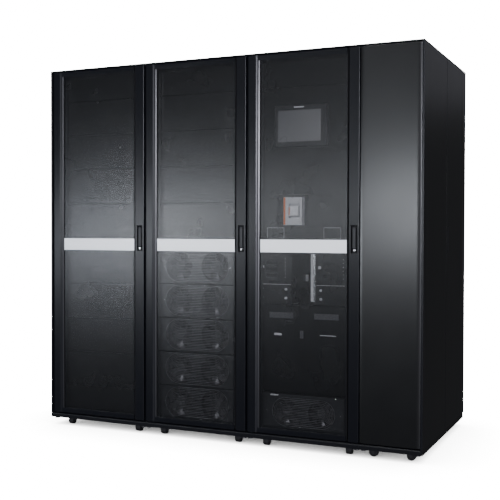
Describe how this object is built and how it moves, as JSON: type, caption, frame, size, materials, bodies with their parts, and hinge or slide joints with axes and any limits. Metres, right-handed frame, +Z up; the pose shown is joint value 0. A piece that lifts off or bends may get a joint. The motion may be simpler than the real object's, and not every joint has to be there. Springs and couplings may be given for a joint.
{
  "type": "modular ups cabinet row",
  "caption": "Row of black data centre power cabinets with perforated hinged doors, fan modules, a display and a breaker behind them, on castors.",
  "frame": {"origin": "on the floor under the middle of the row's bounding box", "axes": "+X along the row, to the right seen from the front; +Y from the front to the back; +Z up"},
  "size_m": [2.12, 1, 1.994],
  "materials": {
    "frame_black": "satin powder coat",
    "door_black": "satin powder coat",
    "mesh_black": "perforated sheet, satin powder coat",
    "rear_sheet_black": "perforated sheet, satin powder coat",
    "plate_black": "fine-textured powder coat",
    "band_silver": "brushed and clear lacquered",
    "handle_black": "moulded, satin",
    "lever_black": "moulded, satin",
    "module_grey": "satin powder coat",
    "guard_black": "satin powder coat",
    "fan_black": "moulded, satin",
    "bezel_black": "moulded, half gloss",
    "screen_glass": "dark display, gloss",
    "breaker_grey": "moulded",
    "toggle_grey": "moulded",
    "rail_steel": "zinc plated",
    "castor_steel": "black coated",
    "wheel_black": "moulded",
    "foot_steel": "black coated"
  },
  "bodies": {
    "cabinets": {"base_frames": "frame_black", "frame_posts": "frame_black", "roof_panels": "frame_black", "cable_entry_plates": "frame_black", "rear_panel_rims": "frame_black", "rear_sheets": "rear_sheet_black", "side_panels": "door_black", "side_pull": "handle_black", "castor_forks": "castor_steel", "castor_wheels": "wheel_black", "levelling_feet": "foot_steel", "side_front_panel": "door_black", "battery_covers": "plate_black", "blank_covers": "plate_black", "power_modules": "module_grey", "bypass_module": "module_grey", "fan_guards": "guard_black", "io_plates": "plate_black", "display_unit": "bezel_black", "display_screen": "screen_glass", "breaker": "breaker_grey", "control_bay": "plate_black", "control_units": "plate_black", "bay_rail": "rail_steel", "connection_cover": "plate_black"},
    "battery_door": {"battery_door_frame": "door_black", "battery_door_mesh": "mesh_black", "battery_door_band": "band_silver", "battery_handle_cup": "handle_black"},
    "battery_handle": {"battery_handle_lever": "lever_black"},
    "power_door": {"power_door_frame": "door_black", "power_door_mesh": "mesh_black", "power_door_band": "band_silver", "power_handle_cup": "handle_black"},
    "power_handle": {"power_handle_lever": "lever_black"},
    "io_door": {"io_door_frame": "door_black", "io_door_mesh": "mesh_black", "io_door_band": "band_silver", "io_handle_cup": "handle_black"},
    "io_handle": {"io_handle_lever": "lever_black"},
    "fan_rotor_1": {"fan_1": "fan_black"},
    "fan_rotor_2": {"fan_2": "fan_black"},
    "fan_rotor_3": {"fan_3": "fan_black"},
    "fan_rotor_4": {"fan_4": "fan_black"},
    "fan_rotor_5": {"fan_5": "fan_black"},
    "fan_rotor_6": {"fan_6": "fan_black"},
    "fan_rotor_7": {"fan_7": "fan_black"},
    "fan_rotor_8": {"fan_8": "fan_black"},
    "fan_rotor_9": {"fan_9": "fan_black"},
    "fan_rotor_10": {"fan_10": "fan_black"},
    "fan_rotor_11": {"fan_11": "fan_black"},
    "fan_rotor_12": {"fan_12": "fan_black"},
    "toggle": {"breaker_toggle": "toggle_grey"}
  },
  "joints": [
    {"name": "battery_door_hinge", "type": "hinge", "parent": "cabinets", "child": "battery_door", "pos_m": [-1.021, -0.49, 1.029], "axis": [0, 0, -1], "range_deg": [0, 110]},
    {"name": "battery_handle_lift", "type": "hinge", "parent": "battery_door", "child": "battery_handle", "pos_m": [-0.478, -0.4935, 1.111], "axis": [-1, 0, 0], "range_deg": [0, 35]},
    {"name": "power_door_hinge", "type": "hinge", "parent": "cabinets", "child": "power_door", "pos_m": [-0.421, -0.49, 1.029], "axis": [0, 0, -1], "range_deg": [0, 110]},
    {"name": "power_handle_lift", "type": "hinge", "parent": "power_door", "child": "power_handle", "pos_m": [0.122, -0.4935, 1.111], "axis": [-1, 0, 0], "range_deg": [0, 35]},
    {"name": "io_door_hinge", "type": "hinge", "parent": "cabinets", "child": "io_door", "pos_m": [0.179, -0.49, 1.029], "axis": [0, 0, -1], "range_deg": [0, 110]},
    {"name": "io_handle_lift", "type": "hinge", "parent": "io_door", "child": "io_handle", "pos_m": [0.722, -0.4935, 1.111], "axis": [-1, 0, 0], "range_deg": [0, 35]},
    {"name": "fan_spin_1", "type": "hinge", "parent": "cabinets", "child": "fan_rotor_1", "pos_m": [-0.255, -0.451, 0.9075], "axis": [0, 1, 0], "continuous": true},
    {"name": "fan_spin_2", "type": "hinge", "parent": "cabinets", "child": "fan_rotor_2", "pos_m": [-0.045, -0.451, 0.9075], "axis": [0, 1, 0], "continuous": true},
    {"name": "fan_spin_3", "type": "hinge", "parent": "cabinets", "child": "fan_rotor_3", "pos_m": [-0.255, -0.451, 0.7265], "axis": [0, 1, 0], "continuous": true},
    {"name": "fan_spin_4", "type": "hinge", "parent": "cabinets", "child": "fan_rotor_4", "pos_m": [-0.045, -0.451, 0.7265], "axis": [0, 1, 0], "continuous": true},
    {"name": "fan_spin_5", "type": "hinge", "parent": "cabinets", "child": "fan_rotor_5", "pos_m": [-0.255, -0.451, 0.5455], "axis": [0, 1, 0], "continuous": true},
    {"name": "fan_spin_6", "type": "hinge", "parent": "cabinets", "child": "fan_rotor_6", "pos_m": [-0.045, -0.451, 0.5455], "axis": [0, 1, 0], "continuous": true},
    {"name": "fan_spin_7", "type": "hinge", "parent": "cabinets", "child": "fan_rotor_7", "pos_m": [-0.255, -0.451, 0.3645], "axis": [0, 1, 0], "continuous": true},
    {"name": "fan_spin_8", "type": "hinge", "parent": "cabinets", "child": "fan_rotor_8", "pos_m": [-0.045, -0.451, 0.3645], "axis": [0, 1, 0], "continuous": true},
    {"name": "fan_spin_9", "type": "hinge", "parent": "cabinets", "child": "fan_rotor_9", "pos_m": [-0.255, -0.451, 0.1835], "axis": [0, 1, 0], "continuous": true},
    {"name": "fan_spin_10", "type": "hinge", "parent": "cabinets", "child": "fan_rotor_10", "pos_m": [-0.045, -0.451, 0.1835], "axis": [0, 1, 0], "continuous": true},
    {"name": "fan_spin_11", "type": "hinge", "parent": "cabinets", "child": "fan_rotor_11", "pos_m": [0.355, -0.451, 0.1845], "axis": [0, 1, 0], "continuous": true},
    {"name": "fan_spin_12", "type": "hinge", "parent": "cabinets", "child": "fan_rotor_12", "pos_m": [0.545, -0.451, 0.1845], "axis": [0, 1, 0], "continuous": true},
    {"name": "breaker_toggle_turn", "type": "hinge", "parent": "cabinets", "child": "toggle", "pos_m": [0.398, -0.446, 1.19614], "axis": [1, 0, 0], "range_deg": [-20, 20]}
  ]
}
